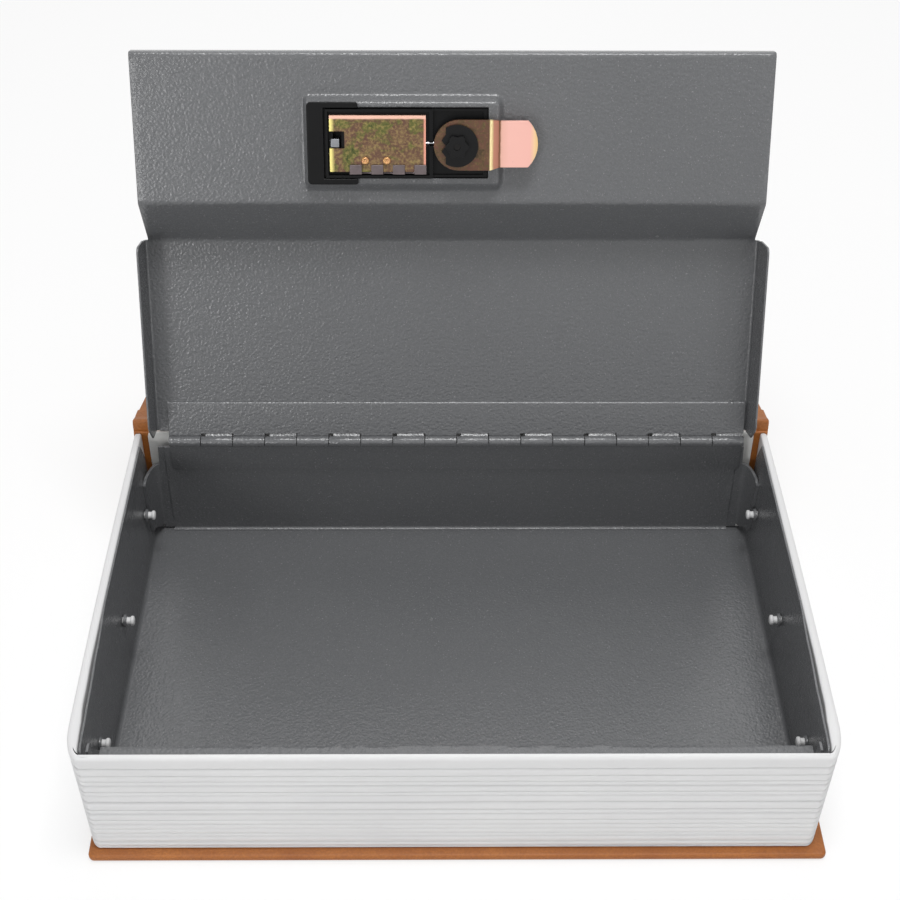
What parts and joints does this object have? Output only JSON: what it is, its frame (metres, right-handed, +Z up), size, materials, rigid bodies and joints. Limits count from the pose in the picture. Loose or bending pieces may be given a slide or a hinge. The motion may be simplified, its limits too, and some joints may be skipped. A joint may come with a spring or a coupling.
{
  "type": "book diversion safe",
  "caption": "Hollow book with a white page block, a hinged grey steel cash tray and lid, a dial cam lock and a wrapped cover that opens.",
  "frame": {"origin": "middle of the back cover's underside, on the surface that the book lies on", "axes": "+X along the spine to the right seen from the page edge, +Y from the page edge to the spine, +Z up"},
  "size_m": [0.233, 0.3021, 0.1823],
  "materials": {
    "tan_leather": "grained leather-look cloth",
    "white_paper": "uncoated paper",
    "white_plastic": "satin",
    "grey_powder_coat": "orange-peel powder coat",
    "black_plastic": "satin",
    "yellow_zinc": "yellow chromate",
    "copper_flash": "rosy passivated",
    "bright_steel": "bright"
  },
  "bodies": {
    "book": {"back_cover": "tan_leather", "spine": "tan_leather", "spine_lining": "white_paper", "cover_joint": "tan_leather", "page_block": "white_plastic", "tray": "grey_powder_coat", "hinge_leaf_tray": "grey_powder_coat", "hinge_pin": "bright_steel", "peg_left_1": "white_plastic", "peg_left_2": "white_plastic", "peg_left_3": "white_plastic", "peg_right_1": "white_plastic", "peg_right_2": "white_plastic", "peg_right_3": "white_plastic"},
    "lid": {"lid_panel": "grey_powder_coat", "hinge_leaf_lid": "grey_powder_coat", "lock_housing": "black_plastic", "lock_clip": "black_plastic", "lock_cover_plate": "yellow_zinc", "detent_spring": "bright_steel", "plate_rivet_1": "copper_flash", "plate_rivet_2": "copper_flash", "dial_axle": "bright_steel"},
    "front_cover_body": {"front_cover": "tan_leather", "front_cover_lining": "white_paper"},
    "latch": {"cam_latch": "copper_flash", "cam_disc": "black_plastic", "cam_nut": "black_plastic", "cam_spindle": "bright_steel", "knob": "black_plastic"},
    "dial_body_1": {"dial_1": "black_plastic"},
    "dial_body_2": {"dial_2": "black_plastic"},
    "dial_body_3": {"dial_3": "black_plastic"},
    "lever": {"code_lever": "bright_steel"},
    "bar": {"locking_bar": "bright_steel"}
  },
  "joints": [
    {"name": "lid_hinge", "type": "hinge", "parent": "book", "child": "lid", "pos_m": [0, 0.0685, 0.0482], "axis": [1, 0, 0], "range_deg": [0, 110.2]},
    {"name": "cover_hinge", "type": "hinge", "parent": "book", "child": "front_cover_body", "pos_m": [0, 0.0774, 0.0512], "axis": [1, 0, 0], "range_deg": [0, 198.14]},
    {"name": "latch_turn", "type": "hinge", "parent": "lid", "child": "latch", "pos_m": [0.00135, 0.10645, 0.15134], "axis": [0, -0.9385, 0.3453], "range_deg": [0, 90]},
    {"name": "dial_1_spin", "type": "hinge", "parent": "lid", "child": "dial_body_1", "pos_m": [-0.02845, 0.09735, 0.15469], "axis": [1, 0, 0], "continuous": true},
    {"name": "dial_2_spin", "type": "hinge", "parent": "lid", "child": "dial_body_2", "pos_m": [-0.02135, 0.09735, 0.15469], "axis": [1, 0, 0], "continuous": true},
    {"name": "dial_3_spin", "type": "hinge", "parent": "lid", "child": "dial_body_3", "pos_m": [-0.01425, 0.09735, 0.15469], "axis": [1, 0, 0], "continuous": true},
    {"name": "code_lever_slide", "type": "slide", "parent": "lid", "child": "lever", "axis": [0, 0.3453, 0.9385], "range_m": [0, 0.0022]},
    {"name": "locking_bar_slide", "type": "slide", "parent": "lid", "child": "bar", "axis": [-1, 0, 0], "range_m": [0, 0.0007]}
  ],
  "couplings": [
    {"joint": "cover_hinge", "follows": "lid_hinge", "ratio": 1.798},
    {"joint": "locking_bar_slide", "follows": "latch_turn", "m_per_rad": 0.00044}
  ]
}
